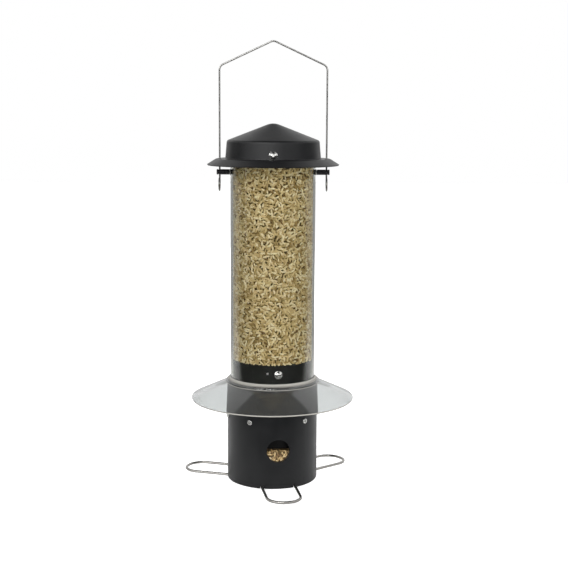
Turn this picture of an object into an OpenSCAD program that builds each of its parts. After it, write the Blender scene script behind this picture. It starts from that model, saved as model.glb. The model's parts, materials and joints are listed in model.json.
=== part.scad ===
// Hanging tube seed feeder: a clear seed tube stands in a black canister with three
// ports and three wire perches, under a black lid that slides up a wire bail.
// Azimuths count from the front (-Y) towards +X. The origin is the middle of the
// underside, and +Z is up.

/* [Seed tube] */
// Outer diameter of the clear tube
tube_d = 100; // [98:0.5:100]
// Wall thickness of the clear tube
tube_wall = 2.5; // [2.3:0.1:3]
// Height of the tube's top edge above the underside
tube_top = 382.9; // [376:0.1:382.9]

/* [Canister] */
// Outer diameter of the canister
housing_d = 107.6; // [107.6:0.1:107.8]
// Wall thickness of the canister
housing_wall = 2.3; // [2:0.1:2.3]
// Height of the canister
housing_h = 120; // [118:0.5:120]
// Azimuth of the front port
port_turn = 8.4; // [0:0.1:20]
// Diameter of a port
port_d = 27; // [22:0.5:28]
// Height of a port's centre
port_z = 46; // [42:0.5:50]

/* [Perches] */
// Diameter of the perch wire
perch_wire_d = 3.2; // [2.8:0.1:3.2]
// Half the width of a perch, between its wire centres
perch_half = 19.6; // [19.2:0.1:21]
// Distance from the axis to the middle of a perch's tip
perch_reach = 109.5; // [90:0.5:120]
// Bend radius of a perch's outer corners
perch_bend = 19; // [8:0.5:19]
// Azimuth that the left perch is bent round from even spacing
perch_stray = 4.5; // [0:0.5:6]

/* [Rain shield] */
// Outer radius of the shield's rim
shield_r = 97; // [85:0.5:110]
// Height of the shield's rim
shield_rim_z = 99.8; // [94:0.1:104]
// Thickness of the shield
shield_wall = 1.6; // [1.4:0.1:1.6]

/* [Lid] */
// Height of the flat part of the brim
brim_z = 383.9; // [383.9:0.1:387]
// Outer radius of the brim
brim_r = 77.3; // [72:0.1:80]
// Slope of the crown's cone in degrees
crown_slope = 21.3; // [18:0.1:24]
// Thickness of the lid's sheet
lid_wall = 1.4; // [1:0.1:1.4]

/* [Hanger] */
// Diameter of the hanger wire
hanger_wire_d = 2; // [1.8:0.1:2.2]
// Distance from the axis to each leg
hanger_half = 62.5; // [61.5:0.1:63]
// Height of the hanger's shoulders
shoulder_z = 490.2; // [485:0.1:500]
// Height where the hanger's slopes would meet
apex_z = 519.4; // [515:0.1:530]
// Height of the cross rod's axis
rod_z = 368.1; // [366:0.1:369]

/* [Hidden] */

// Three of everything stand evenly round the axis
THIRDS = [0, 120, -120];
// Gap between pieces of one body that only locate each other
FIT = 0.2;
// Gap between pieces of different bodies
RUN = 0.4;
// Tiny distance that carries a cutter past a face
PAST = 0.5;
// How far a straight wire runs into an elbow, and how much fatter the elbow is there
LAP = 0.25;
SWELL = 0.015;
// How far a cutter starts before a wall and ends after it
OVER = 2;
// Radius that lies inside every wall, where radial bores start
BORE_FROM = 40;
// Clearance of a bore round its screw or pin
SNUG = 0.05;
FINE = 96;
SMALL = 32;

tube_r = tube_d / 2;
tube_in = tube_r - tube_wall;
housing_r = housing_d / 2;
housing_in = housing_r - housing_wall;

// Inner pot: a skirt inside the canister and a sleeve inside the tube
pot_r = housing_in - FIT;
pot_in = pot_r - 2;
sleeve_r = tube_in - 0.3;
sleeve_in = sleeve_r - 3.2;
sleeve_top = 147;
sleeve_chamfer = 0.8;
shoulder_top = housing_h + 0.4;
shoulder_low = shoulder_top - 3;

// Canister's edges
foot_fillet = 2;
rim_chamfer = 0.5;

// Floor, bottom plate and the wires between them
clamp_r = 46;
clamp_h = 1;
perch_z = clamp_h + 0.1 + perch_wire_d / 2;
floor_low = clamp_h + 0.1;
floor_top = 7.5;
spigot_r = pot_in - 0.1;
spigot_in = spigot_r - 2;
spigot_top = 13;
window_r = 11;
window_at = 33;
drain_d = 3.2;
drain_pitch = 7;
leg_end = 18;

// Cone on the floor
cone_r = 24;
cone_top = 38;
cone_wall = 1.8;
cone_tip_r = 1;
cone_tip_h = 3;
cone_peg_r = 6;
cone_peg_h = 24;
cone_peg_z = floor_low + 2;

// Heap of seed in the canister: height at the wall, where the ports show it
heap_z = 42;
heap_gap = 0.4;

// Baffle above the ports
funnel_r = pot_in - FIT;
funnel_wall = 1.8;
funnel_top = 88;
funnel_bend = 70;
funnel_low = 46.4;
funnel_mouth = 43.6;

// Screws
m5_r = 2.5;
m5_head_r = 4.75;
m5_head_h = 2.75;
m5_socket = 3;
m5_nut = 8;
m5_nut_h = 4;
small_r = 1.7;
small_head_r = 3.15;
small_head_h = 2.1;
sunk_r = 1.5;
sunk_head_r = 2.7;
sunk_head_h = clamp_h;
housing_screw_z = 79;
housing_screw_turn = 36.4;
collar_screw_z = 135.8;
rivet_turn = -14.5;
rivet_z = 137.5;
rivet_r = 1.1;
rivet_head_r = 1.35;
rivet_head_h = 0.6;
clamp_screw_at = 38;
sunk_reach = 6.5;
lid_screw_z = brim_z + 5.3;
lid_turn = 0.7;

// Crown of the lid: centre of its corner arc, corner radius, tip radius, wall taper
crown_corner = [50.9, brim_z + 18.5];
corner_r = 3.5;
tip_r = 20;
wall_tilt = 5;
tip_z = crown_corner.y
    + (crown_corner.x * sin(crown_slope) - tip_r + corner_r) / cos(crown_slope);
brim_flat_r = 65.3;
brim_bend = 5;
brim_fillet = 0.8;
brim_drop = 32;

// Shield: inner radii of its hole and of the wall that drops over the canister, slope of
// the shoulder between them, and heights of the hole's upper edge and of the skirt's top
neck_in = tube_r + 0.35;
neck_z = housing_h + 5.3;
shoulder_slope = 41;
drape_in = housing_r + 0.35;
drape_low = housing_h - 1.8;

// Cross rod and its sleeves
rod_r = 2;
rod_end_r = 3.15;
rod_end_in = 51;
rod_end_out = 66.1;
rod_socket = 9.2;
rod_groove = 0.6;
rod_groove_h = 0.5;
wire_hole_r = hanger_wire_d / 2 + RUN;

// Bushes of the cross rod in the tube's wall
grommet_r = 3;
grommet_flange_r = 3.6;
grommet_flange_h = 0.6;

// Hanger eyes
eye_r = 7;
eye_z = 354;
eye_sweep = 310;
shoulder_bend = 7;
apex_bend = 7;

function turned(i) = port_turn + THIRDS[i];
function perch_turn(i) = port_turn + 0.6 + THIRDS[i] + (i == 2 ? perch_stray : 0);
function arc(c, r, from, to, n = 8) =
    [for (i = [0:n]) c + r * [cos(from + (to - from) * i / n), sin(from + (to - from) * i / n)]];
function rev(list) = [for (i = [len(list) - 1:-1:0]) list[i]];

// Outside of the crown wall at height z, taken in by t
function crown_wall_r(z, t) = crown_corner.x + (corner_r - t) * cos(wall_tilt)
    + (crown_corner.y + (corner_r - t) * sin(wall_tilt) - z) * tan(wall_tilt);

// Height at which the bore of a lid screw starts, on its tilted axis
lid_bore_from = 45;
lid_bore_h = 14;
lid_bore_z = lid_screw_z - (crown_wall_r(lid_screw_z, 0) - lid_bore_from) * tan(wall_tilt);

// Puts a piece drawn along +Z at a radius, pointing outward at an azimuth
module outward(azimuth, radius, z, tilt = 0) {
    rotate([0, 0, azimuth])
        translate([0, -radius, z])
            rotate([90 - tilt, 0, 0])
                children();
}

// Radial hole or pin from the axis out to radius far
module spoke(azimuth, z, r, near, far) {
    outward(azimuth, near, z)
        cylinder(r = r, h = far - near, $fn = SMALL);
}

// ---- Bent wire in the XY plane: straights with true elbows between them ----
function unit(v) = v / norm(v);
function heading(p, i) = unit(p[i + 1] - p[i]);
function swing(p, i) = let (a = heading(p, i - 1), b = heading(p, i))
    atan2(a.x * b.y - a.y * b.x, a.x * b.x + a.y * b.y);
function setback(p, bends, i) =
    (i == 0 || i == len(p) - 1) ? 0 : bends[i - 1] * tan(abs(swing(p, i)) / 2);

// A straight stretch, carried on by LAP at an end that meets an elbow
module straight(a, b, r, lap_a, lap_b) {
    translate([a.x, a.y, 0])
        rotate([0, 0, atan2(b.y - a.y, b.x - a.x)])
            rotate([0, 90, 0])
                translate([0, 0, -lap_a])
                    cylinder(r = r, h = norm(b - a) + lap_a + lap_b, $fn = SMALL);
}

module elbow(p, bends, i, r) {
    h = heading(p, i - 1);
    side = sign(swing(p, i));
    start = p[i] - h * setback(p, bends, i);
    centre = start + bends[i - 1] * side * [-h.y, h.x];
    from = atan2(start.y - centre.y, start.x - centre.x);
    translate([centre.x, centre.y, 0])
        rotate([0, 0, side > 0 ? from : from - abs(swing(p, i))])
            rotate_extrude(angle = abs(swing(p, i)), $fn = FINE)
                translate([bends[i - 1], 0])
                    circle(r = r + SWELL, $fn = SMALL);
}

module wire(p, bends, d) {
    for (i = [0:len(p) - 2])
        straight(
            p[i] + heading(p, i) * setback(p, bends, i),
            p[i + 1] - heading(p, i) * setback(p, bends, i + 1),
            d / 2,
            i == 0 ? 0 : LAP,
            i == len(p) - 2 ? 0 : LAP
        );
    for (i = [1:len(p) - 2])
        elbow(p, bends, i, d / 2);
}

// ---- Fasteners, drawn along +Z with the head's underside at z = 0 ----
module button_screw(reach) {
    dome = (m5_head_r * m5_head_r + m5_head_h * m5_head_h) / (2 * m5_head_h);
    rise = asin(m5_head_r * 0.92 / dome);
    difference() {
        union() {
            rotate_extrude($fn = FINE)
                polygon(concat(
                    [[0, 0], [m5_head_r, 0], [m5_head_r, 0.4]],
                    arc([0, m5_head_h - dome], dome, 90 - rise, 90, 8)
                ));
            translate([0, 0, -reach])
                cylinder(r = m5_r, h = reach + PAST, $fn = SMALL);
        }
        translate([0, 0, m5_head_h - 1.6])
            cylinder(r = m5_socket / sqrt(3), h = 3, $fn = 6);
    }
}

module pan_screw(reach) {
    difference() {
        union() {
            rotate_extrude($fn = FINE)
                polygon(concat(
                    [[0, 0], [small_head_r, 0]],
                    arc([small_head_r - 1.2, small_head_h - 1.2], 1.2, 0, 80, 6),
                    [[0, small_head_h]]
                ));
            translate([0, 0, -reach])
                cylinder(r = small_r, h = reach + PAST, $fn = SMALL);
        }
        for (a = [0, 90])
            rotate([0, 0, a])
                translate([-1.9, -0.4, small_head_h - 1.2])
                    cube([3.8, 0.8, 2]);
    }
}

module sunk_screw(reach) {
    difference() {
        union() {
            translate([0, 0, -sunk_head_h])
                cylinder(r1 = sunk_r, r2 = sunk_head_r, h = sunk_head_h, $fn = SMALL);
            translate([0, 0, -reach])
                cylinder(r = sunk_r - 0.05, h = reach - sunk_head_h + 0.1, $fn = SMALL);
        }
        for (a = [0, 90])
            rotate([0, 0, a])
                translate([-1.5, -0.3, -0.6])
                    cube([3, 0.6, 2]);
    }
}

module hex_nut() {
    difference() {
        cylinder(r = m5_nut / sqrt(3), h = m5_nut_h, $fn = 6);
        translate([0, 0, -PAST])
            cylinder(r = m5_r + SNUG, h = m5_nut_h + 2 * PAST, $fn = SMALL);
    }
}

// ---- Seed tube and its contents ----
module seed_tube() {
    color("lightcyan", 0.35)
        difference() {
            translate([0, 0, shoulder_top])
                cylinder(r = tube_r, h = tube_top - shoulder_top, $fn = FINE);
            translate([0, 0, shoulder_top - PAST])
                cylinder(r = tube_in, h = tube_top - shoulder_top + 2 * PAST, $fn = FINE);
            for (side = [-90, 90])
                spoke(side, rod_z, grommet_r + SNUG, tube_in - OVER, tube_r + OVER);
            for (i = [0:2]) {
                spoke(turned(i), collar_screw_z, m5_r + 0.3, tube_in - OVER, tube_r + OVER);
                spoke(turned(i) + rivet_turn, rivet_z, rivet_r + 0.15, tube_in - OVER,
                    tube_r + OVER);
            }
        }
}

throat_r = sleeve_in - m5_nut_h - 1;
seed_top = tube_top - 4;

module seed_fill() {
    color("burlywood")
        difference() {
            union() {
                translate([0, 0, sleeve_top + 0.3])
                    cylinder(r = sleeve_r, h = seed_top - sleeve_top - 0.3, $fn = FINE);
                translate([0, 0, shoulder_low])
                    cylinder(r = throat_r, h = sleeve_top + 0.4 - shoulder_low, $fn = FINE);
            }
            spoke(90, rod_z, rod_r + FIT, -tube_r, tube_r);
        }
}

module base_seed() {
    wall = pot_in - FIT;
    lip = funnel_mouth - funnel_wall - FIT;
    inner = funnel_r - funnel_wall - 2.7;
    color("burlywood")
        rotate_extrude($fn = FINE)
            polygon([
                [0, cone_top + heap_gap], [cone_tip_r + heap_gap, cone_top + heap_gap],
                [cone_r + 2 * heap_gap, floor_top + 0.1], [spigot_in - FIT, floor_top + 0.1],
                [spigot_in - FIT, spigot_top + FIT], [wall, spigot_top + FIT], [wall, heap_z],
                [lip, funnel_low - heap_gap], [lip, funnel_low + 0.6],
                [inner, funnel_bend - 4], [inner, shoulder_low - 3],
                [throat_r, shoulder_low], [0, shoulder_low]
            ]);
}

// ---- Canister ----
module inner_pot() {
    color("#202224")
        difference() {
            rotate_extrude($fn = FINE)
                polygon([
                    [pot_in, floor_top], [pot_r, floor_top], [pot_r, shoulder_top],
                    [sleeve_r, shoulder_top], [sleeve_r, sleeve_top - sleeve_chamfer],
                    [sleeve_r - sleeve_chamfer, sleeve_top], [sleeve_in, sleeve_top],
                    [sleeve_in, shoulder_low], [pot_in, shoulder_low]
                ]);
            for (i = [0:2]) {
                spoke(turned(i), port_z, port_d / 2, BORE_FROM, pot_r + OVER);
                spoke(turned(i), collar_screw_z, m5_r + SNUG, BORE_FROM, pot_r);
                spoke(turned(i) + rivet_turn, rivet_z, rivet_r + 0.1, BORE_FROM, pot_r);
                for (s = [-1, 1])
                    spoke(turned(i) + s * housing_screw_turn, housing_screw_z,
                        small_r + SNUG, BORE_FROM, pot_r + OVER);
            }
        }
}

module base_housing() {
    color("#26282a")
        difference() {
            rotate_extrude($fn = FINE)
                polygon(concat(
                    [[housing_in, 0]],
                    arc([housing_r - foot_fillet, foot_fillet], foot_fillet, -90, 0, 6),
                    [[housing_r, housing_h - rim_chamfer], [housing_r - rim_chamfer, housing_h],
                        [housing_in, housing_h]]
                ));
            for (i = [0:2]) {
                spoke(turned(i), port_z, port_d / 2, BORE_FROM, housing_r + OVER);
                for (s = [-1, 1]) {
                    spoke(turned(i) + s * housing_screw_turn, housing_screw_z,
                        small_r + SNUG, BORE_FROM, housing_r + OVER);
                    rotate([0, 0, perch_turn(i)])
                        translate([s * perch_half, 0, 0])
                            wire_notch();
                }
            }
        }
}

// Notch in the canister's bottom rim for one leg of a perch
module wire_notch() {
    r = perch_wire_d / 2 + FIT;
    length = 40;
    translate([0, 20 - housing_in, perch_z])
        rotate([90, 0, 0])
            cylinder(r = r, h = length, $fn = SMALL);
    translate([-r, 20 - housing_in - length, -PAST])
        cube([2 * r, length, perch_z + PAST]);
}

module seed_funnel() {
    color("#1c1d1f")
        difference() {
            rotate_extrude($fn = FINE)
                polygon([
                    [funnel_mouth, funnel_low], [funnel_r, funnel_bend], [funnel_r, funnel_top],
                    [funnel_r - funnel_wall, funnel_top], [funnel_r - funnel_wall, funnel_bend],
                    [funnel_mouth - funnel_wall, funnel_low]
                ]);
            for (i = [0:2], s = [-1, 1])
                spoke(turned(i) + s * housing_screw_turn, housing_screw_z,
                    small_r + SNUG, BORE_FROM, pot_r);
        }
}

module seed_cone() {
    slope = atan2(cone_top - floor_top, cone_r);
    color("#1c1d1f")
        union() {
            difference() {
                translate([0, 0, floor_top])
                    cylinder(r1 = cone_r, r2 = cone_tip_r, h = cone_top - floor_top, $fn = FINE);
                translate([0, 0, floor_top - PAST])
                    cylinder(r1 = cone_r - cone_wall / sin(slope), r2 = 0,
                        h = cone_top - floor_top - cone_tip_h, $fn = FINE);
            }
            translate([0, 0, cone_peg_z])
                cylinder(r = cone_peg_r - SNUG, h = cone_peg_h, $fn = SMALL);
        }
}

module base_floor() {
    color("#1c1d1f")
        difference() {
            union() {
                translate([0, 0, floor_low])
                    cylinder(r = pot_r, h = floor_top - floor_low, $fn = FINE);
                translate([0, 0, floor_top - PAST])
                    cylinder(r = spigot_r, h = spigot_top - floor_top + PAST, $fn = FINE);
            }
            translate([0, 0, floor_top])
                cylinder(r = spigot_in, h = spigot_top, $fn = FINE);
            translate([0, 0, cone_peg_z - 0.1])
                cylinder(r = cone_peg_r, h = floor_top, $fn = SMALL);
            for (i = [0:2]) {
                rotate([0, 0, perch_turn(i)])
                    for (s = [-1, 1])
                        translate([s * perch_half, 0, 0])
                            leg_channel();
                rotate([0, 0, perch_turn(i)])
                    translate([0, -window_at, 0])
                        drains();
                rotate([0, 0, turned(i) + 60])
                    translate([0, -clamp_screw_at, 0])
                        cylinder(r = sunk_r, h = sunk_reach + PAST, $fn = SMALL);
            }
        }
}

// Channel under the floor that holds one leg of a perch
module leg_channel() {
    r = perch_wire_d / 2 + 0.1;
    spare = 0.3;
    translate([0, spare - leg_end, perch_z])
        rotate([90, 0, 0])
            cylinder(r = r, h = pot_r + spare, $fn = SMALL);
    translate([-r, -leg_end - pot_r, 0])
        cube([2 * r, pot_r + spare, perch_z]);
}

// One hole with six round it
module drains() {
    for (k = [0:6])
        rotate([0, 0, 60 * k])
            translate([k == 6 ? 0 : drain_pitch, 0, -PAST])
                cylinder(r = drain_d / 2, h = floor_top + OVER, $fn = SMALL);
}

// ---- Perches and what holds them ----
module perch(i) {
    color("silver")
        rotate([0, 0, perch_turn(i)])
            translate([0, 0, perch_z])
                wire(
                    [[perch_half, -leg_end], [perch_half, -perch_reach],
                        [-perch_half, -perch_reach], [-perch_half, -leg_end]],
                    [perch_bend, perch_bend],
                    perch_wire_d
                );
}

module perch_clamp() {
    color("silver")
        difference() {
            cylinder(r = clamp_r, h = clamp_h, $fn = FINE);
            for (i = [0:2]) {
                rotate([0, 0, perch_turn(i)])
                    translate([0, -window_at, -PAST])
                        cylinder(r = window_r, h = clamp_h + OVER, $fn = FINE);
                rotate([0, 0, turned(i) + 60])
                    translate([0, -clamp_screw_at, -SNUG])
                        cylinder(r1 = sunk_head_r + 0.1, r2 = sunk_r + 0.1,
                            h = clamp_h + 2 * SNUG, $fn = SMALL);
            }
        }
}

module clamp_screws() {
    color("gainsboro")
        for (i = [0:2])
            rotate([0, 0, turned(i) + 60])
                translate([0, -clamp_screw_at, 0])
                    rotate([180, 0, 0])
                        sunk_screw(sunk_reach);
}

// ---- Fasteners in place ----
module collar_screws() {
    color("gainsboro")
        for (i = [0:2])
            outward(turned(i), tube_r, collar_screw_z)
                button_screw(tube_r - sleeve_in + m5_nut_h + 0.5);
}

module collar_nuts() {
    color("silver")
        for (i = [0:2])
            outward(turned(i), sleeve_in - 0.3 - m5_nut_h, collar_screw_z)
                hex_nut();
}

module collar_rivets() {
    color("white")
        for (i = [0:2])
            outward(turned(i) + rivet_turn, sleeve_in + 0.5, rivet_z) {
                cylinder(r = rivet_r, h = tube_r - sleeve_in - 0.5, $fn = SMALL);
                translate([0, 0, tube_r - sleeve_in - 0.5])
                    cylinder(r1 = rivet_head_r, r2 = 0.8, h = rivet_head_h, $fn = SMALL);
            }
}

module housing_screws() {
    color("gainsboro")
        for (i = [0:2], s = [-1, 1])
            outward(turned(i) + s * housing_screw_turn, housing_r, housing_screw_z)
                pan_screw(8.5);
}

// ---- Cross rod ----
module cross_rod() {
    half = rod_end_in + rod_socket - 0.1;
    color("silver")
        translate([-half, 0, rod_z])
            rotate([0, 90, 0])
                cylinder(r = rod_r, h = 2 * half, $fn = SMALL);
}

// Sleeve on the rod's end at +X, with a groove near its tip
module rod_end() {
    tip = rod_end_out - rod_end_in;
    groove = tip - 2.4;
    bevel = 0.4;
    color("#101010")
        difference() {
            translate([rod_end_in, 0, rod_z])
                rotate([0, 90, 0])
                    rotate_extrude($fn = FINE)
                        polygon([
                            [0, tip - 1.5 * bevel], [rod_r, tip], [rod_end_r - bevel, tip],
                            [rod_end_r, tip - bevel], [rod_end_r, groove + rod_groove],
                            [rod_end_r - rod_groove_h, groove + rod_groove],
                            [rod_end_r - rod_groove_h, groove], [rod_end_r, groove],
                            [rod_end_r, bevel], [rod_end_r - bevel, 0], [rod_r + SNUG, 0],
                            [rod_r + SNUG, rod_socket], [0, rod_socket]
                        ]);
            translate([hanger_half, 0, rod_z - 2 * rod_end_r])
                cylinder(r = wire_hole_r, h = 4 * rod_end_r, $fn = SMALL);
        }
}

module rod_grommets() {
    color("dimgray")
        for (side = [-90, 90])
            outward(side, tube_in, rod_z)
                difference() {
                    union() {
                        cylinder(r = grommet_r, h = tube_wall + grommet_flange_h, $fn = FINE);
                        translate([0, 0, tube_wall + 0.1])
                            cylinder(r = grommet_flange_r, h = grommet_flange_h, $fn = FINE);
                    }
                    translate([0, 0, -PAST])
                        cylinder(r = rod_r + SNUG, h = 2 * tube_wall + OVER, $fn = SMALL);
                }
}

// ---- Rain shield ----
// The shield's outside, from the hole to the rim, moved in by t
function shield_line(t) =
    let (
        drape = drape_in + shield_wall,
        inward = 1.2,
        outward = 2.4,
        bend_r = drape - outward,
        bend_z = neck_z - (outward + (bend_r - neck_in) * sin(shoulder_slope))
            / cos(shoulder_slope)
    )
    concat(
        [[neck_in, neck_z - t / cos(shoulder_slope)]],
        arc([bend_r, bend_z], outward - t, 90 - shoulder_slope, 0, 6),
        arc([drape + inward, drape_low + inward], inward + t, 180, 243, 5),
        [[shield_r - t * 0.4, shield_rim_z - t]]
    );

module rain_shield() {
    color("lightgray", 0.4)
        rotate_extrude($fn = 2 * FINE)
            polygon(concat(shield_line(0), rev(shield_line(shield_wall))));
}

// ---- Lid ----
// The lid's outside from tip to brim edge, moved in by t
function lid_line(t) =
    let (
        foot = crown_wall_r(brim_z + brim_fillet, 0) + brim_fillet,
        edge = [brim_flat_r + brim_bend * sin(brim_drop),
            brim_z - brim_bend * (1 - cos(brim_drop))],
        run = brim_r - edge.x
    )
    concat(
        arc([0, tip_z], tip_r - t, 90, 90 - crown_slope, 6),
        arc(crown_corner, corner_r - t, 90 - crown_slope, wall_tilt, 8),
        arc([foot, brim_z + brim_fillet], brim_fillet + t, 180 + wall_tilt, 270, 6),
        arc([brim_flat_r, brim_z - brim_bend], brim_bend - t, 90, 90 - brim_drop, 5),
        [[brim_r - t * sin(brim_drop), edge.y - run * tan(brim_drop) - t * cos(brim_drop)]]
    );

module lid_shell() {
    color("#2a2c2e")
        difference() {
            rotate_extrude($fn = 2 * FINE)
                polygon(concat(lid_line(0), rev(lid_line(lid_wall))));
            for (side = [-1, 1])
                translate([side * hanger_half, 0, brim_z - 3 * OVER])
                    cylinder(r = wire_hole_r + 0.4, h = 6 * OVER, $fn = SMALL);
            for (i = [0:2])
                outward(lid_turn + THIRDS[i], lid_bore_from, lid_bore_z, wall_tilt)
                    cylinder(r = m5_r + 0.1, h = lid_bore_h, $fn = SMALL);
        }
}

liner_web = tube_top + 0.3;

module lid_liner() {
    web_h = 1;
    web_in = 44;
    step = liner_web + 3;
    top = liner_web + 14;
    skirt = liner_web - 5.5;
    skirt_in = tube_r + RUN;
    skirt_wall = 2;
    wall = 3.2;
    color("#1c1d1f")
        difference() {
            rotate_extrude($fn = FINE)
                polygon([
                    [web_in, liner_web], [skirt_in, liner_web], [skirt_in, skirt],
                    [skirt_in + skirt_wall, skirt], [skirt_in + skirt_wall, step],
                    [crown_wall_r(step, lid_wall) - 0.1, step],
                    [crown_wall_r(top, lid_wall) - 0.1, top],
                    [crown_wall_r(top, lid_wall) - 0.1 - wall, top],
                    [crown_wall_r(liner_web + web_h, lid_wall) - 0.1 - wall, liner_web + web_h],
                    [web_in, liner_web + web_h]
                ]);
            for (i = [0:2])
                outward(lid_turn + THIRDS[i], lid_bore_from, lid_bore_z, wall_tilt)
                    cylinder(r = m5_r + SNUG, h = lid_bore_h, $fn = SMALL);
        }
}

module lid_screws() {
    color("gainsboro")
        for (i = [0:2])
            outward(lid_turn + THIRDS[i], crown_wall_r(lid_screw_z, 0), lid_screw_z, wall_tilt)
                button_screw(10);
}

module lid_nuts() {
    color("silver")
        for (i = [0:2])
            outward(lid_turn + THIRDS[i], crown_wall_r(lid_screw_z, 0), lid_screw_z, wall_tilt)
                translate([0, 0, -lid_wall - 3.6 - m5_nut_h])
                    hex_nut();
}

// ---- Hanger ----
module hanger_wire() {
    color("silver") {
        rotate([90, 0, 0])
            wire(
                [[-hanger_half, eye_z - LAP], [-hanger_half, shoulder_z], [0, apex_z],
                    [hanger_half, shoulder_z], [hanger_half, eye_z - LAP]],
                [shoulder_bend, apex_bend, shoulder_bend],
                hanger_wire_d
            );
        for (side = [-1, 1])
            translate([side * hanger_half, -eye_r, eye_z])
                rotate([0, 90, 0])
                    rotate([0, 0, 90 - eye_sweep])
                        rotate_extrude(angle = eye_sweep, $fn = FINE)
                            translate([eye_r, 0])
                                circle(r = hanger_wire_d / 2 + SWELL, $fn = SMALL);
    }
}

seed_tube();
seed_fill();
base_seed();
inner_pot();
base_housing();
seed_funnel();
seed_cone();
base_floor();
perch(0);  // perch_front
perch(1);  // perch_right
perch(2);  // perch_left
perch_clamp();
clamp_screws();
collar_screws();
collar_nuts();
collar_rivets();
housing_screws();
cross_rod();
mirror([1, 0, 0]) rod_end();  // rod_end_left
rod_end();  // rod_end_right
rod_grommets();
rain_shield();
lid_shell();
lid_liner();
lid_screws();
lid_nuts();
hanger_wire();
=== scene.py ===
import json
import math

import bpy
import numpy as np
from mathutils import Matrix, Vector


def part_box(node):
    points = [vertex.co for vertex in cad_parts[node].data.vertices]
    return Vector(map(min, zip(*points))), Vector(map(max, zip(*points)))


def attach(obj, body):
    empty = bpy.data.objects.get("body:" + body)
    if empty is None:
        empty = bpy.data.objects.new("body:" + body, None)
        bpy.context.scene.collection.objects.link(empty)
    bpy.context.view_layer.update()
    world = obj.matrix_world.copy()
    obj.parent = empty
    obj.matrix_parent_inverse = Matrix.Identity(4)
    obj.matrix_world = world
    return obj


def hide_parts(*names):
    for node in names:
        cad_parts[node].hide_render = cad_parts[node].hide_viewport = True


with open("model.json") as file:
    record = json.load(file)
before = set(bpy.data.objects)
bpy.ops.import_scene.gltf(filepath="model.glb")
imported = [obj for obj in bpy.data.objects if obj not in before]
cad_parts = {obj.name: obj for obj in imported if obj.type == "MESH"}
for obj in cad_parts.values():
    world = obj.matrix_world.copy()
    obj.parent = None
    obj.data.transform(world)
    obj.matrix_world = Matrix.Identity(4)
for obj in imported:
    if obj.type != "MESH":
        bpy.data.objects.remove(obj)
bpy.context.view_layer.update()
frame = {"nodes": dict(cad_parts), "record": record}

MM = 0.001
RNG = np.random.default_rng(41)
RANGE_INPUTS = ("From Min", "From Max", "To Min", "To Max")
MIX_INPUTS, MIX_OUTPUT = (0, 6, 7), 2    # of a colour mix: its factor and its two colours


def add_object(name, data):
    obj = bpy.data.objects.new(name, data)
    bpy.context.scene.collection.objects.link(obj)
    return obj


# ---------------------------------------------------------------- camera
SENSOR = 36
IMAGE_WIDTH = 568
FOCAL_PIXELS = 1171.8
CAMERA_AT = Vector((0.01337, -1.3776, 0.4365))
PITCH = math.radians(8.297)
ROLL = math.radians(0.27)


def make_camera():
    """The photograph's camera. It looks a little down and is rolled a trace."""
    data = bpy.data.cameras.new("camera")
    data.lens = FOCAL_PIXELS / IMAGE_WIDTH * SENSOR
    data.sensor_width = SENSOR
    data.clip_start, data.clip_end = 0.05, 50
    cam = add_object("camera", data)
    level = Vector((1, 0, 0))
    above = Vector((0, math.sin(PITCH), math.cos(PITCH)))
    right = math.cos(ROLL) * level + math.sin(ROLL) * above
    up = math.cos(ROLL) * above - math.sin(ROLL) * level
    back = right.cross(up)
    cam.matrix_world = Matrix((right, up, back)).transposed().to_4x4()
    cam.location = CAMERA_AT
    bpy.context.scene.camera = cam


# ---------------------------------------------------------------- node helpers
class Tree:
    """The node tree of a material or a world, with short calls to add and join nodes."""

    def __init__(self, owner):
        owner.use_nodes = True
        self.tree = owner.node_tree
        self.tree.nodes.clear()

    def add(self, kind, **values):
        node = self.tree.nodes.new(kind)
        for key, value in values.items():
            setattr(node, key, value)
        return node

    def join(self, a, b):
        self.tree.links.new(a, b)

    def feed(self, socket, value):
        """Joins a node's output to the socket, or sets a number or a colour on it."""
        if isinstance(value, bpy.types.NodeSocket):
            self.join(value, socket)
        else:
            socket.default_value = (*value, 1) if isinstance(value, tuple) else value

    def maths(self, operation, a, b=0.0):
        node = self.add("ShaderNodeMath", operation=operation)
        self.feed(node.inputs[0], a)
        self.feed(node.inputs[1], b)
        return node.outputs[0]

    def spread(self, value, low, high, start=0.3, end=0.7, kind="LINEAR"):
        """Maps value from start..end to low..high, both held at the ends."""
        node = self.add("ShaderNodeMapRange", interpolation_type=kind)
        for key, number in zip(RANGE_INPUTS, (start, end, low, high)):
            node.inputs[key].default_value = number
        self.join(value, node.inputs["Value"])
        return node.outputs[0]

    def step(self, value, start, end, low=0.0, high=1.0):
        """Eases from low at start to high at end."""
        return self.spread(value, low, high, start, end, "SMOOTHSTEP")

    def split(self, vector):
        """The X, Y and Z of a vector."""
        node = self.add("ShaderNodeSeparateXYZ")
        self.join(vector, node.inputs[0])
        return node.outputs

    def seen_directly(self):
        """1 where no surface mirrors or scatters the view on the way here."""
        path = self.add("ShaderNodeLightPath").outputs
        bounces = self.maths("ADD", path["Diffuse Depth"], path["Glossy Depth"])
        return self.maths("LESS_THAN", bounces, 0.5)


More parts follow.
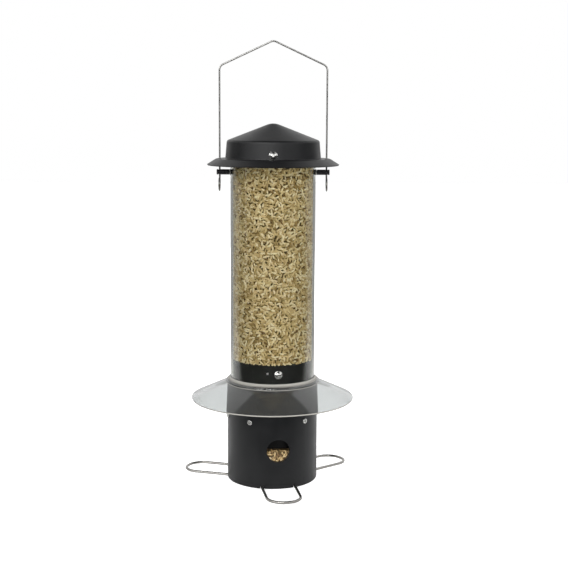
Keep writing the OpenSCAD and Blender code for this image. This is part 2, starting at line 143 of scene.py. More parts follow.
class Material(Tree):
    """A material, which starts as one Principled shader in the object's own coordinates."""

    def __init__(self, name):
        self.mat = bpy.data.materials.new(name)
        super().__init__(self.mat)
        self.out = self.add("ShaderNodeOutputMaterial")
        self.shader = self.add("ShaderNodeBsdfPrincipled")
        self.show(self.shader.outputs[0])
        self.place = self.add("ShaderNodeTexCoord").outputs["Object"]

    def show(self, surface):
        """Makes this the material's surface."""
        self.surface = surface
        self.join(surface, self.out.inputs["Surface"])

    def set(self, **values):
        """Sets sockets of the Principled shader, with _ for a space in their names."""
        for key, value in values.items():
            self.shader.inputs[key.replace("_", " ")].default_value = value

    def noise(self, size, detail=3, rough=0.5, stretch=None):
        """Noise whose features are about size metres across."""
        at = self.place
        if stretch:
            mapping = self.add("ShaderNodeMapping")
            mapping.inputs["Scale"].default_value = stretch
            self.join(at, mapping.inputs["Vector"])
            at = mapping.outputs[0]
        node = self.add("ShaderNodeTexNoise")
        node.inputs["Scale"].default_value = 1 / size
        node.inputs["Detail"].default_value = detail
        node.inputs["Roughness"].default_value = rough
        self.join(at, node.inputs["Vector"])
        return node.outputs["Fac"]

    def ramp(self, value, stops):
        """Colour for value, from stops of (position, colour)."""
        node = self.add("ShaderNodeValToRGB")
        band = node.color_ramp
        while len(band.elements) < len(stops):
            band.elements.new(0.5)
        for element, (at, colour) in zip(band.elements, stops):
            element.position = at
            element.color = (*colour, 1)
        self.join(value, node.inputs["Fac"])
        return node.outputs["Color"]

    def mix(self, fac, a, b, blend="MIX"):
        """Colour a where fac is 0, and b blended with it in full where fac is 1."""
        node = self.add("ShaderNodeMix", data_type="RGBA", blend_type=blend)
        for index, value in zip(MIX_INPUTS, (fac, a, b)):
            self.feed(node.inputs[index], value)
        return node.outputs[MIX_OUTPUT]

    def bump(self, height, strength, depth):
        """Relief of the given depth in metres, of which strength is the share that shows."""
        node = self.add("ShaderNodeBump")
        node.inputs["Strength"].default_value = strength
        node.inputs["Distance"].default_value = depth
        self.join(height, node.inputs["Height"])
        self.join(node.outputs[0], self.shader.inputs["Normal"])

    def blend_to(self, fac, surface):
        """Shows another surface where fac is 1, and a mixture of the two where it is less."""
        mix = self.add("ShaderNodeMixShader")
        self.join(fac, mix.inputs[0])
        self.join(self.surface, mix.inputs[1])
        self.join(surface, mix.inputs[2])
        self.show(mix.outputs[0])

    def frost_and_highlight(self, rim, hole):
        """Frosts the cut edges of a sheet and paints pale highlights: the edge attribute is 1 at
        the rim and 2 at the hole, and set the same way where a highlight is painted.
        """
        edge = self.add("ShaderNodeAttribute", attribute_name="edge").outputs["Fac"]
        cut = self.add("ShaderNodeBsdfPrincipled")
        dark = tuple(0.8 * c for c in rim)
        grain = self.ramp(self.noise(0.4 * MM, 3), [(0.3, dark), (0.7, rim)])
        at_hole = self.maths("SUBTRACT", edge, 1.0)
        self.join(self.mix(at_hole, grain, hole), cut.inputs["Base Color"])
        cut.inputs["Roughness"].default_value = 0.6
        self.blend_to(self.maths("MINIMUM", edge, 1.0), cut.outputs[0])

    def let_lamps_through(self, tint):
        """Lamps reach what is behind this glass, tinted by it."""
        path = self.add("ShaderNodeLightPath").outputs["Is Shadow Ray"]
        clear = self.add("ShaderNodeBsdfTransparent")
        clear.inputs["Color"].default_value = (*tint, 1)
        self.blend_to(path, clear.outputs[0])


# ---------------------------------------------------------------- materials
def black_coat():
    """Satin powder coat: orange peel, a fine grit and soft clouds in its tone and gloss."""
    m = Material("black_coat")
    peel, grit, cloud = m.noise(0.9 * MM, 2), m.noise(0.25 * MM, 2), m.noise(18 * MM, 4)
    m.join(m.ramp(cloud, [(0.3, (0.0026, 0.0028, 0.0032)), (0.7, (0.0042, 0.0044, 0.0048))]),
           m.shader.inputs["Base Color"])
    m.join(m.maths("ADD", m.spread(cloud, 0.35, 0.42), m.spread(grit, -0.03, 0.04)),
           m.shader.inputs["Roughness"])
    m.bump(m.maths("ADD", peel, m.maths("MULTIPLY", grit, 0.4)), 0.12, 0.12 * MM)
    m.set(Specular_IOR_Level=0.29)
    return m.mat


def moulded_black(name, shade, specular):
    """Moulded plastic with a fine satin grain."""
    m = Material(name)
    grain, cloud = m.noise(0.5 * MM, 3), m.noise(12 * MM, 3)
    m.join(m.ramp(cloud, [(0.3, (0.7 * shade,) * 3), (0.7, (shade, shade, 1.05 * shade))]),
           m.shader.inputs["Base Color"])
    m.join(m.spread(grain, 0.46, 0.60), m.shader.inputs["Roughness"])
    m.bump(grain, 0.15, 0.06 * MM)
    m.set(Specular_IOR_Level=specular)
    return m.mat


def metal(name, colour, smooth, rough, grain, stretch=None, strength=0.1):
    """Bare metal whose roughness runs from smooth to rough along its grain, with slight clouds."""
    m = Material(name)
    lines, cloud = m.noise(grain, 4, 0.6, stretch), m.noise(6 * MM, 3)
    dark = tuple(0.86 * c for c in colour)
    m.join(m.ramp(cloud, [(0.3, dark), (0.65, colour)]), m.shader.inputs["Base Color"])
    m.join(m.spread(lines, smooth, rough), m.shader.inputs["Roughness"])
    m.bump(lines, strength, 0.05 * MM)
    m.set(Metallic=1.0)
    return m.mat


def rod_black():
    """Black coat with paler worn spots."""
    m = Material("rod_black")
    grain, wear = m.noise(0.3 * MM, 3), m.noise(1.6 * MM, 4)
    m.join(m.ramp(wear, [(0.5, (0.006, 0.006, 0.007)), (0.75, (0.02, 0.02, 0.02))]),
           m.shader.inputs["Base Color"])
    m.join(m.spread(grain, 0.3, 0.45), m.shader.inputs["Roughness"])
    m.bump(grain, 0.1, 0.05 * MM)
    return m.mat


def grommet_rubber():
    """Dark grey rubber with a dull grain."""
    m = Material("grommet_rubber")
    grain = m.noise(0.35 * MM, 3)
    m.join(m.ramp(grain, [(0.3, (0.10, 0.10, 0.095)), (0.7, (0.17, 0.17, 0.16))]),
           m.shader.inputs["Base Color"])
    m.join(m.spread(grain, 0.55, 0.7), m.shader.inputs["Roughness"])
    m.bump(grain, 0.2, 0.05 * MM)
    return m.mat


def clear_plastic(name, tint, shadow_tint, rough, index, absorbs=None, haze=0.0, edges=None):
    """Clear polycarbonate with hairline scratches and a trace of waviness.

    absorbs is how much red, green and blue it takes up per metre, haze how much dust lies on it,
    and edges the colours of its frosted rim and hole, which also colour its painted highlights."""
    m = Material(name)
    hair = m.noise(1.2 * MM, 5, 0.7, (1, 1, 0.12))
    wave = m.noise(22 * MM, 2)
    m.join(m.spread(hair, rough, rough + 0.05, 0.62, 0.8), m.shader.inputs["Roughness"])
    m.bump(wave, 0.05, 0.4 * MM)
    m.set(Base_Color=(*tint, 1), Transmission_Weight=1.0, IOR=index)
    if haze:
        film = m.add("ShaderNodeBsdfDiffuse")
        film.inputs["Color"].default_value = (0.80, 0.79, 0.76, 1)
        dust = m.noise(3 * MM, 4, 0.6)
        m.blend_to(m.spread(dust, 0.8 * haze, 1.3 * haze), film.outputs[0])
    if edges:
        m.frost_and_highlight(*edges)
    m.let_lamps_through(shadow_tint)
    if absorbs:
        volume = m.add("ShaderNodeVolumeAbsorption")
        volume.inputs["Density"].default_value = max(absorbs)
        volume.inputs["Color"].default_value = (*(1 - a / max(absorbs) for a in absorbs), 1)
        m.join(volume.outputs[0], m.out.inputs["Volume"])
    return m.mat


def seed_material(name, shade):
    """Husked sunflower heart: each kernel has its own tone, with a darker tip and fine streaks.

    shade darkens all of it, for seed that lies in shadow."""
    m = Material(name)
    tone = m.add("ShaderNodeAttribute", attribute_name="tone").outputs["Fac"]
    along = m.add("ShaderNodeAttribute", attribute_name="along").outputs["Fac"]
    body = m.ramp(tone, [(0.0, (0.17, 0.096, 0.0355)), (0.3, (0.42, 0.284, 0.118)),
                         (0.65, (0.78, 0.587, 0.306)), (1.0, (0.96, 0.818, 0.552))])
    streak = m.noise(0.5 * MM, 4, 0.65)
    body = m.mix(m.spread(streak, 0.0, 0.55, 0.45, 0.75), body, (0.30, 0.202, 0.108))
    body = m.mix(m.spread(along, 0.0, 0.6, 0.7, 1.0), body, (0.26, 0.164, 0.079))
    body = m.mix(1.0, body, (shade, shade, shade), "MULTIPLY")
    m.join(body, m.shader.inputs["Base Color"])
    m.join(m.spread(streak, 0.42, 0.62), m.shader.inputs["Roughness"])
    m.bump(streak, 0.35, 0.15 * MM)
    m.set(Specular_IOR_Level=0.4)
    return m.mat


def make_materials():
    return {
        "black_coat": black_coat(),
        "moulded_black": moulded_black("moulded_black", 0.018, 0.27),
        # the moulded black darkened: painted shade inside the ports
        "baffle_painted_shade": moulded_black("baffle_painted_shade", 0.003, 0.08),
        "stainless_wire": metal("stainless_wire", (0.36, 0.355, 0.34), 0.28, 0.38, 2 * MM,
                                (1, 1, 0.1), strength=0.03),
        "perch_wire": metal("perch_wire", (0.36, 0.35, 0.33), 0.17, 0.26, 2 * MM, strength=0.03),
        "stainless_sheet": metal("stainless_sheet", (0.55, 0.55, 0.53), 0.25, 0.42, 1.5 * MM,
                                 (1, 0.05, 1), 0.2),
        "screw_steel": metal("screw_steel", (0.62, 0.62, 0.60), 0.17, 0.29, 0.5 * MM),
        "rivet_metal": metal("rivet_metal", (0.82, 0.82, 0.82), 0.2, 0.35, 0.4 * MM),
        "rod_black": rod_black(),
        "grommet_rubber": grommet_rubber(),
        "clear_tube": clear_plastic("clear_tube", (0.97, 0.975, 0.965), (0.90, 0.92, 0.90),
                                    rough=0.01, index=1.52, absorbs=(120, 117, 130)),
        # The shield's dark grey tint paints the shade of the backdrop seen through it.
        "clear_shield": clear_plastic("clear_shield", (0.345, 0.362, 0.36), (0.70, 0.72, 0.72),
                                      rough=0.015, index=1.57, haze=0.018,
                                      edges=((0.28, 0.27, 0.245), (0.44, 0.44, 0.415))),
        "seed": seed_material("seed", 1.0),
        # the seed darkened to a fifth: painted shade deep in the column and the ports
        "seed_painted_shade": seed_material("seed_painted_shade", 0.18),
        # the seed darkened by half: painted shade in the ports' recess
        "seed_port_painted_shade": seed_material("seed_port_painted_shade", 0.50),
    }


# ---------------------------------------------------------------- pieces
def paint(obj, material):
    """Gives the whole object one material."""
    obj.data.materials.clear()
    obj.data.materials.append(material)


def hold(obj, body, slot, *nodes):
    """The piece rides on the body and stands for the nodes. slot is not used."""
    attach(obj, body)
    if nodes:
        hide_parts(*nodes)


def turned(outline, sides, bump=0.0):
    """Points on rings round the Z axis, one ring for each (radius, height) of the outline."""
    angle = 2 * math.pi * np.arange(sides) / sides
    radius = outline[:, :1] + bump
    return np.stack([radius * np.sin(angle), -radius * np.cos(angle),
                     np.repeat(outline[:, 1:], sides, axis=1)], axis=2).reshape(-1, 3)


def add_values(mesh, **values):
    """Stores a number at every point of the mesh, under each name."""
    for name, numbers in values.items():
        attribute = mesh.attributes.new(name, "FLOAT", "POINT")
        attribute.data.foreach_set("value", numbers.astype(np.float32))


def smooth_object(name, points, faces, material, **values):
    """A smooth-shaded object, with numbers at its points for the material to read."""
    mesh = bpy.data.meshes.new(name)
    mesh.from_pydata([tuple(p) for p in points], [], faces)
    mesh.polygons.foreach_set("use_smooth", np.ones(len(faces), bool))
    add_values(mesh, **values)
    mesh.update()
    obj = add_object(name, mesh)
    paint(obj, material)
    return obj


# CAD nodes whose surface differs from the rest of their slot; the baffle's darker black is painted
# shade inside the ports
OWN_LOOK = {"perch_front": "perch_wire", "perch_left": "perch_wire", "perch_right": "perch_wire",
            "seed_funnel": "baffle_painted_shade"}


def paint_cad(materials):
    """Each CAD node takes the material of its slot in the record."""
    for part in frame["record"]["subparts"]:
        obj = frame["nodes"][part["node"]]
        look = OWN_LOOK.get(part["node"], part["material_slot"])
        if not obj.data.materials:
            obj.data.materials.append(None)
        for slot in obj.material_slots:
            slot.link = "OBJECT"
            slot.material = materials[look]


# ---------------------------------------------------------------- seed
KERNEL_RINGS = (0.05, 0.2, 0.42, 0.68, 0.9)
KERNEL_SIDES = 7
KERNEL_LONG, KERNEL_WIDE, KERNEL_THICK = 6.2 * MM, 2.4 * MM, 1.9 * MM
KERNEL_IN = 1.2 * MM    # how far inside the surface their centres start


def kernel_shape():
    """Unit kernel along X from its blunt end at -0.5 to its point at 0.5, and its triangles."""
    points = [(-0.5, 0, 0)]
    along = [0.0]
    for t in KERNEL_RINGS:
        wide = 2.25 * math.sqrt(t) * (1 - t) ** 0.7 / 2
        for k in range(KERNEL_SIDES):
            a = 2 * math.pi * k / KERNEL_SIDES
            points.append((t - 0.5, wide * math.cos(a), wide * math.sin(a)))
            along.append(t)
    points.append((0.5, 0, 0))
    along.append(1.0)
    n, last = KERNEL_SIDES, len(points) - 1
    faces = []
    for k in range(n):
        j = (k + 1) % n
        faces.append((0, 1 + j, 1 + k))
        for ring in range(len(KERNEL_RINGS) - 1):
            a, b = 1 + ring * n, 1 + (ring + 1) * n
            faces.append((a + k, a + j, b + j))
            faces.append((a + k, b + j, b + k))
        a = 1 + (len(KERNEL_RINGS) - 1) * n
        faces.append((a + k, a + j, last))
    return np.array(points), np.array(along), np.array(faces)


UNIT, UNIT_ALONG, UNIT_FACES = kernel_shape()


def unit_rows(v):
    """Each row scaled to length 1."""
    return v / np.linalg.norm(v, axis=1, keepdims=True)


def kernels(centres, outward, lean, outer, tone_at=0.62):
    """Kernels that lie flat against a surface whose outward directions are given.

    lean is the spread, in radians, of how far they tip out of it, and tone_at is their
    middle tone. outer(points) gives how far each point stands past the surface, and every
    kernel is drawn back until it only touches."""
    count = len(centres)
    helper = np.tile([0.0, 0.0, 1.0], (count, 1))
    helper[np.abs(outward[:, 2]) > 0.7] = [1.0, 0.0, 0.0]
    side = unit_rows(np.cross(helper, outward))
    rise = np.cross(outward, side)
    turn = RNG.uniform(0, 2 * math.pi, count)[:, None]
    tip = RNG.normal(0, lean, count)[:, None]
    roll = RNG.normal(0, 0.45, count)[:, None]
    long = np.cos(turn) * side + np.sin(turn) * rise
    long = unit_rows(np.cos(tip) * long + np.sin(tip) * outward)
    flat = unit_rows(np.cross(outward, long))
    thick = np.cross(long, flat)
    flat, thick = (np.cos(roll) * flat + np.sin(roll) * thick,
                   np.cos(roll) * thick - np.sin(roll) * flat)
    size = RNG.normal(1, 0.09, count).clip(0.8, 1.2)[:, None, None]
    slim = RNG.normal(1, 0.08, (count, 1, 1)).clip(0.82, 1.2)
    unit = UNIT[None]
    points = centres[:, None] + size * (KERNEL_LONG * unit[..., :1] * long[:, None]
                                        + KERNEL_WIDE * slim * unit[..., 1:2] * flat[:, None]
                                        + KERNEL_THICK * unit[..., 2:] * thick[:, None])
    past = outer(points).max(axis=1)
    points -= (past + RNG.uniform(0, 0.25 * MM, count))[:, None, None] * outward[:, None]
    tone = RNG.normal(tone_at, 0.26, count).clip(0, 1)
    return points, tone


def mesh_of(name, points, tone, material):
    """One mesh of many kernels."""
    count, each = points.shape[:2]
    faces = (UNIT_FACES[None] + each * np.arange(count)[:, None, None]).reshape(-1, 3)
    mesh = bpy.data.meshes.new(name)
    mesh.vertices.add(count * each)
    mesh.vertices.foreach_set("co", points.astype(np.float32).ravel())
    mesh.loops.add(faces.size)
    mesh.loops.foreach_set("vertex_index", faces.astype(np.int32).ravel())
    mesh.polygons.add(len(faces))
    mesh.polygons.foreach_set("loop_start", np.arange(0, faces.size, 3, dtype=np.int32))
    mesh.polygons.foreach_set("use_smooth", np.ones(len(faces), bool))
    mesh.update(calc_edges=True)
    add_values(mesh, tone=np.repeat(tone, each), along=np.tile(UNIT_ALONG, count))
    mesh.validate()
    obj = add_object(name, mesh)
    paint(obj, material)
    return obj


def scatter(width, height, pitch):
    """Jittered hexagonal grid over a rectangle."""
    rows = max(1, round(height / (pitch * 0.866)))
    columns = max(1, round(width / pitch))
    spots = [((c + 0.5 * (r % 2)) / columns * width, (r + 0.5) / rows * height)
             for r in range(rows) for c in range(columns)]
    spots = np.array(spots)
    return spots + RNG.uniform(-0.28 * pitch, 0.28 * pitch, spots.shape)


def wall_layer(radius, low, high, pitch, start=0.0, sweep=2 * math.pi, lean=0.22, tone_at=0.66):
    """Kernels against the inside of a cylinder of that radius, round the Z axis."""
    spots = scatter(radius * sweep, high - low, pitch)
    angle = start + spots[:, 0] / radius
    outward = np.stack([np.sin(angle), -np.cos(angle), np.zeros(len(angle))], axis=1)
    centres = outward * (radius - KERNEL_IN)
    centres[:, 2] = low + spots[:, 1]
    return kernels(centres, outward, lean,
                   lambda p: np.hypot(p[..., 0], p[..., 1]) - radius, tone_at)


def disc_layer(radius, top, pitch, lean=0.25):
    """Kernels lying on a level heap, their tops just under the given height."""
    spots = scatter(2 * radius, 2 * radius, pitch) - radius
    spots = spots[np.hypot(*spots.T) < radius - 3.4 * MM]
    centres = np.column_stack([spots, np.full(len(spots), top - KERNEL_IN)])
    outward = np.tile([0.0, 0.0, 1.0], (len(spots), 1))
    return kernels(centres, outward, lean, lambda p: p[..., 2] - top)


def joined(*layers):
    """The points and the tones of several layers of kernels in one."""
    return tuple(np.concatenate(column) for column in zip(*layers))


def lathe(name, outline, material, sides=128, lumps=0.0):
    """Closed solid of revolution with a lumpy surface.

    outline is (radius, height) from low to high, and it starts and ends on the axis."""
    outline = np.array(outline, float)
    inner = outline[1:-1]
    points = turned(inner, sides, RNG.uniform(-lumps, 0, (len(inner), sides)))
    points = np.vstack([points, [0, 0, outline[0, 1]], [0, 0, outline[-1, 1]]])
    rings, low, high = len(inner), len(inner) * sides, len(inner) * sides + 1
    faces = []
    for k in range(sides):
        j = (k + 1) % sides
        faces.append((low, j, k))
        for ring in range(rings - 1):
            a, b = ring * sides, (ring + 1) * sides
            faces.append((a + k, a + j, b + j, b + k))
        faces.append((high, (rings - 1) * sides + k, (rings - 1) * sides + j))
    return smooth_object(name, points, faces, material, tone=RNG.uniform(0.1, 0.5, len(points)),
                         along=np.zeros(len(points)))


BANDS = 5                 # of the column, so that no piece has too many faces
SEED_PLAY = 0.05 * MM     # between the kernels and the CAD seed's outside
OUTER_PITCH, SECOND_PITCH, HEAP_PITCH = 3.65 * MM, 3.8 * MM, 4.2 * MM
SECOND_IN, CORE_IN = 1.7 * MM, 3.2 * MM
ROD_ROOM = 5.8 * MM       # kept free of kernels round the rod, where it can be seen
ROD_HIDDEN = 40 * MM      # the rod lies inside the core up to here


def make_column(materials):
    """Seed seen through the tube: two layers of kernels round a lumpy core."""
    fill_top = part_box("seed_fill")[1]
    pot_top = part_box("inner_pot")[1].z
    radius = fill_top.x - SEED_PLAY
    low, high = pot_top - 1.0 * MM, fill_top.z - 1.8 * MM
    rod = sum(corner.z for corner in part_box("cross_rod")) / 2
    for k in range(BANDS):
        a = low + (high - low) * k / BANDS
        b = low + (high - low) * (k + 1) / BANDS
        # The second layer's low tone paints the shade between the front kernels.
        layers = [wall_layer(radius, a, b, OUTER_PITCH),
                  wall_layer(radius - SECOND_IN, a, b, SECOND_PITCH, lean=0.4, tone_at=0.25)]
        if k == BANDS - 1:
            layers.append(disc_layer(radius, fill_top.z, HEAP_PITCH))
        points, tone = joined(*layers)
        middle = points.mean(axis=1)
        beside = np.hypot(middle[:, 1], middle[:, 2] - rod) > ROD_ROOM
        beside |= np.abs(middle[:, 0]) < ROD_HIDDEN
        obj = mesh_of(f"seed_kernels_{k}", points[beside], tone[beside], materials["seed"])
        hold(obj, "feeder", "seed")
    # The core is the darkened seed with low tones: painted shade deep in the column.
    core_r, core_top = radius - CORE_IN, high - 0.6 * MM
    wall = [(core_r, z) for z in np.arange(low, high - 2 * MM, 2.6 * MM)]
    core = lathe("seed_core", [(0, low), *wall, (core_r, core_top), (0, core_top)],
                 materials["seed_painted_shade"], lumps=1.2 * MM)
    hold(core, "feeder", "seed", "seed_fill")


PORT_TURNS = (8.4, 128.4, -111.6)    # degrees round the axis from the front
PORT_HALF = math.radians(20)     # half of the sector that a port shows
PORT_LOW, PORT_TOP = 28 * MM, 42 * MM
BAFFLE_MOUTH = 41.6 * MM         # radius at which the heap meets the baffle
PORT_PITCH, SLOPE_PITCH = 4.0 * MM, 3.6 * MM
HEAP_SLOPE = 0.45                # rise of its top towards the axis
HEAP_UP = 0.9                    # about the cosine of that slope's angle


def make_port_seed(materials):
    """Seed seen in the three ports: a heap whose top slopes up to the baffle's lower edge."""
    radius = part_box("base_seed")[1].x - SEED_PLAY
    mouth, top = BAFFLE_MOUTH, PORT_TOP
    layers = []
    for turn in PORT_TURNS:
        face = math.radians(turn)
        start, sweep = face - PORT_HALF, 2 * PORT_HALF
        # The ports' kernels have low tones and a darkened material: painted shade in the recess.
        layers.append(wall_layer(radius, PORT_LOW, top - 0.5 * MM, PORT_PITCH,
                                 start, sweep, tone_at=0.42))
        layers.append(wall_layer(radius - 2.0 * MM, PORT_LOW, top + 0.5 * MM, PORT_PITCH,
                                 start, sweep, lean=0.4, tone_at=0.22))
        half = math.tan(PORT_HALF) * radius
        spots = scatter(2 * half, radius - mouth, SLOPE_PITCH)
        across = spots[:, 0] - half
        out = mouth + 0.5 * MM + spots[:, 1] * 0.8
        x = out * math.sin(face) + across * math.cos(face)
        y = -out * math.cos(face) + across * math.sin(face)
        r = np.hypot(x, y)
        keep = r < radius - 3 * MM
        x, y, r = x[keep], y[keep], r[keep]
        centres = np.column_stack([x, y, top + (radius - r) * 0.5])
        outward = unit_rows(np.column_stack([x / r * HEAP_SLOPE, y / r * HEAP_SLOPE,
                                             np.full(len(x), HEAP_UP)]))

        def past_slope(points):
            rr = np.hypot(points[..., 0], points[..., 1])
            return (points[..., 2] - (top + 0.2 * MM + (radius - rr) * HEAP_SLOPE)) * HEAP_UP

        layers.append(kernels(centres, outward, 0.3, past_slope, 0.4))
    points, tone = joined(*layers)
    obj = mesh_of("port_kernels", points, tone, materials["seed_port_painted_shade"])
    hold(obj, "feeder", "seed")
    # The port's core is the darkened seed too: painted shade behind the port's kernels.
    core_r = radius - 3.4 * MM
    core = lathe("port_core", [(0, 20 * MM), (core_r, 20 * MM), (core_r, 30 * MM),
                               (core_r, top - 1.5 * MM), (mouth - 1 * MM, top + 1 * MM),
                               (0, top + 1.2 * MM)], materials["seed_painted_shade"], lumps=0.6 * MM)
    hold(core, "feeder", "seed", "base_seed")


# ---------------------------------------------------------------- rain shield
def arc(centre, radius, start, end, steps):
    """Points of an arc from angle start to angle end, in degrees."""
    return [(centre[0] + radius * math.cos(a), centre[1] + radius * math.sin(a))
            for a in np.radians(np.linspace(start, end, steps + 1))]


# The shield in millimetres and degrees. Its shoulder slopes down from the hole to a short
# wall over the canister's rim, and its skirt spreads from the foot of that wall.
SHIELD_WALL = 1.6
SHIELD_HOLE = 50.36
SHIELD_SIDES = 256
SHOULDER_SLOPE = 41
DRAPE_R, DRAPE_LOW = 55.75, 118.2
SHOULDER_BEND, SKIRT_BEND = 2.4, 1.2
SKIRT_BEND_END = 243
SHOULDER_STEPS, SKIRT_STEPS = 12, 10
RIM_ROUND = 0.3           # the faces stop this short of the rim's corners
TOP_PLAY, RIM_PLAY = 0.01, 0.02    # how far the top and the rim stay inside the CAD shield
CREASE_HIGHLIGHT = slice(18, 22)    # the outside's points where the skirt bends, painted pale like the cut rim as a highlight


def shield_line(inset, hole, top, rim):
    """One face of the shield from its hole to near its rim, moved in by inset, in millimetres."""
    drape, low, slope = DRAPE_R, DRAPE_LOW, SHOULDER_SLOPE
    inward, outward = SKIRT_BEND, SHOULDER_BEND
    across, drop = math.sin(math.radians(slope)), math.cos(math.radians(slope))
    bend_r = drape - outward
    bend_z = top - (outward + (bend_r - hole) * across) / drop
    line = [(hole + 0.1, top - inset / drop - 0.1 * across / drop)]
    line += arc((bend_r, bend_z), outward - inset, 90 - slope, 0, SHOULDER_STEPS)
    line += arc((drape + inward, low + inward), inward + inset, 180, SKIRT_BEND_END, SKIRT_STEPS)
    skirt = np.array(rim) - np.array(line[-1])
    return line + [tuple(np.array(rim) - RIM_ROUND * skirt / np.linalg.norm(skirt))]


def make_shield(materials):
    """The clear shield turned finely enough for its ledges to catch an unbroken line of light. Pale
    paint at its crease and round its hole adds painted highlights.
    """
    lo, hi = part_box("rain_shield")
    wall, hole, sides = SHIELD_WALL, SHIELD_HOLE, SHIELD_SIDES
    top = hi.z / MM - TOP_PLAY
    rim_r, rim_z = hi.x / MM - RIM_PLAY, lo.z / MM + wall
    in_r, in_z = rim_r - 0.4 * wall, rim_z - wall
    outside = shield_line(0, hole, top, (rim_r, rim_z))
    outside.insert(1, tuple(0.75 * np.array(outside[0]) + 0.25 * np.array(outside[1])))
    inside = shield_line(wall, hole, top, (in_r, in_z))
    rim = [(rim_r - 0.02, rim_z - 0.15), (in_r + 0.04, in_z + 0.15), (in_r - 0.1, in_z + 0.02)]
    edge = [(hole, inside[0][1] + 0.2), (hole, outside[0][1] - 0.15)]
    loop = outside + rim + inside[::-1] + edge
    frost_and_highlight_marks = np.zeros(len(loop))    # how pale each point is painted: 1 like the rim, 2 like the hole; cut edges and painted highlights
    frost_and_highlight_marks[len(outside):len(outside) + 2] = 1.0
    frost_and_highlight_marks[-2:] = 2.0
    frost_and_highlight_marks[:2] = 1.8, 1.1           # the outside's lip round the hole, painted pale as a highlight
    frost_and_highlight_marks[CREASE_HIGHLIGHT] = 1.0
    faces = []
    for r in range(len(loop)):
        a, b = r * sides, (r + 1) % len(loop) * sides
        faces += [(a + k, b + k, b + (k + 1) % sides, a + (k + 1) % sides) for k in range(sides)]
    obj = smooth_object("shield_skin", turned(np.array(loop) * MM, sides), faces,
                        materials["clear_shield"], edge=np.repeat(frost_and_highlight_marks, sides))
    hold(obj, "shield", "clear_shield", "rain_shield")


# ---------------------------------------------------------------- studio
FLOOR_SIZE = 6.0         # half of its side
FLOOR_DROP = 0.2 * MM    # keeps it off the object's flat base


def make_floor():
    """Plain pale floor.

    What mirrors it sees it fade out in front, as the edge of a table would, and turn to an
    even grey far behind."""
    mesh = bpy.data.meshes.new("floor")
    size = FLOOR_SIZE
    mesh.from_pydata([(-size, -size, 0), (size, -size, 0), (size, size, 0), (-size, size, 0)],
                     [], [(0, 1, 2, 3)])
    obj = add_object("floor", mesh)
    m = Material("floor")
    seen = m.seen_directly()
    x, y, _ = m.split(m.place)
    aside = m.maths("MAXIMUM", m.maths("SUBTRACT", m.maths("ABSOLUTE", x), 0.22))
    depth = m.maths("SUBTRACT", y, m.maths("MULTIPLY", aside, 0.6))
    front = m.ramp(m.spread(depth, 0, 1, -0.27, -0.08),
                   [(0.0, (0.02, 0.02, 0.02)), (1.0, (0.80, 0.80, 0.80))])
    far = m.spread(y, 0, 1, 0.35, 0.75)
    mirrored = m.mix(far, front, (0, 0, 0))
    m.join(m.mix(seen, mirrored, (0.9, 0.9, 0.9)), m.shader.inputs["Base Color"])
    m.set(Roughness=0.9, Specular_IOR_Level=0.0)
    glow = m.add("ShaderNodeEmission")
    m.join(m.maths("MAXIMUM", m.maths("MULTIPLY", far, 0.5), m.maths("MULTIPLY", seen, 0.5)),
           glow.inputs["Strength"])
    both = m.add("ShaderNodeAddShader")
    m.join(m.shader.outputs[0], both.inputs[0])
    m.join(glow.outputs[0], both.inputs[1])
    m.show(both.outputs[0])
    paint(obj, m.mat)
    obj.location.z = -FLOOR_DROP


def area_light(name, at, to, width, height, power, mirrored=True):
    """Softbox aimed at a point. One that isn't mirrored leaves no highlight in gloss or glass."""
    data = bpy.data.lights.new(name, "AREA")
    data.shape = "RECTANGLE"
    data.size, data.size_y, data.energy = width, height, power
    obj = add_object(name, data)
    obj.location = at
    obj.rotation_mode = "QUATERNION"
    obj.rotation_quaternion = (Vector(to) - Vector(at)).to_track_quat("-Z", "Y")
    obj.visible_camera = False
    obj.visible_glossy = obj.visible_transmission = mirrored


TRACE = 0.05    # light that comes from everywhere


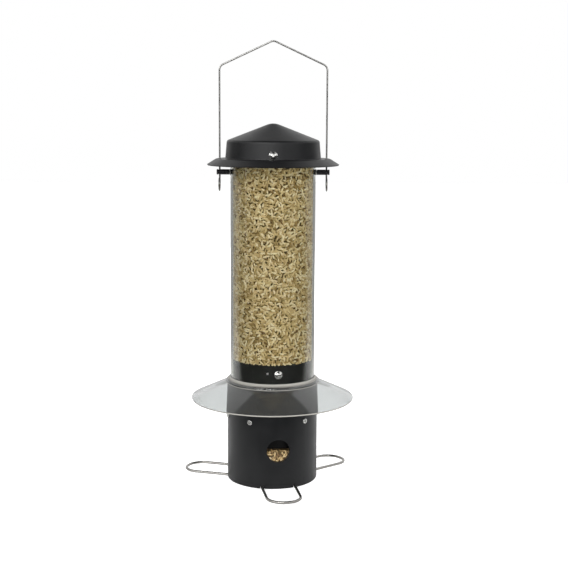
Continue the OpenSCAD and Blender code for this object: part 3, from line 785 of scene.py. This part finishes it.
def make_world():
    """What gloss and diffuse surfaces are lit by. The camera sees plain white.

    It is white behind and at the sides, dark overhead and in front, with a wide soft band
    of light above the camera and a trace of light all round."""
    world = bpy.data.worlds.new("studio")
    w = Tree(world)
    x, y, z = w.split(w.add("ShaderNodeTexCoord").outputs["Generated"])

    back_half = w.step(y, -0.38, -0.20)
    over_floor = w.maths("MAXIMUM", w.step(z, 0.08, 0.21), w.step(y, 0.45, 0.75))
    under_top = w.step(z, 0.87, 0.91, 1.0, 0.0)
    behind = w.maths("MULTIPLY", w.maths("MULTIPLY", back_half, over_floor), under_top)
    middle = w.step(w.maths("ABSOLUTE", x), 0.12, 0.30, 1.0, 0.0)
    gap = w.maths("MULTIPLY", w.step(z, 0.50, 0.62), middle)
    behind = w.maths("MULTIPLY", behind, w.maths("SUBTRACT", 1.0, w.maths("MULTIPLY", gap, 0.65)))
    white = w.maths("MULTIPLY", behind, w.step(x, -0.6, 0.9, 1.0, 1.25))

    front_half = w.step(y, -0.38, -0.20, 1.0, 0.0)
    band_low, band_high = w.step(z, 0.12, 0.20), w.step(z, 0.44, 0.54, 1.0, 0.0)
    band = w.maths("MULTIPLY", w.maths("MULTIPLY", front_half, band_low),
                   w.maths("MULTIPLY", band_high, w.step(x, -0.4, 0.5, 5.0, 3.0)))
    light = w.maths("ADD", w.maths("ADD", white, band), TRACE)

    lit, seen = w.add("ShaderNodeBackground"), w.add("ShaderNodeBackground")
    w.join(light, lit.inputs["Strength"])
    w.feed(seen.inputs["Color"], (1, 1, 1))
    mix = w.add("ShaderNodeMixShader")
    w.join(w.seen_directly(), mix.inputs[0])
    w.join(lit.outputs[0], mix.inputs[1])
    w.join(seen.outputs[0], mix.inputs[2])
    w.join(mix.outputs[0], w.add("ShaderNodeOutputWorld").inputs[0])
    bpy.context.scene.world = world


MIDDLE = (0, 0, 0.25)    # of the object, roughly


def make_lights():
    """Softboxes: two in front, one behind, and a strip at the left for a line in the glass."""
    area_light("key", (-0.55, -1.82, 1.35), MIDDLE, 1.6, 0.7, 20)
    area_light("fill", (0.65, -2.1, 0.40), MIDDLE, 1.8, 0.5, 64, mirrored=False)
    area_light("rear", (-0.1, 2.2, 0.9), MIDDLE, 3.4, 1.0, 68, mirrored=False)
    area_light("strip", (-1.46, -0.34, 0.45), (0, 0, 0.1), 0.05, 1.3, 0.3)


make_camera()
MATERIALS = make_materials()
paint_cad(MATERIALS)
make_column(MATERIALS)
make_port_seed(MATERIALS)
make_shield(MATERIALS)
make_floor()
make_world()
make_lights()
bpy.context.scene.view_settings.view_transform = "Standard"
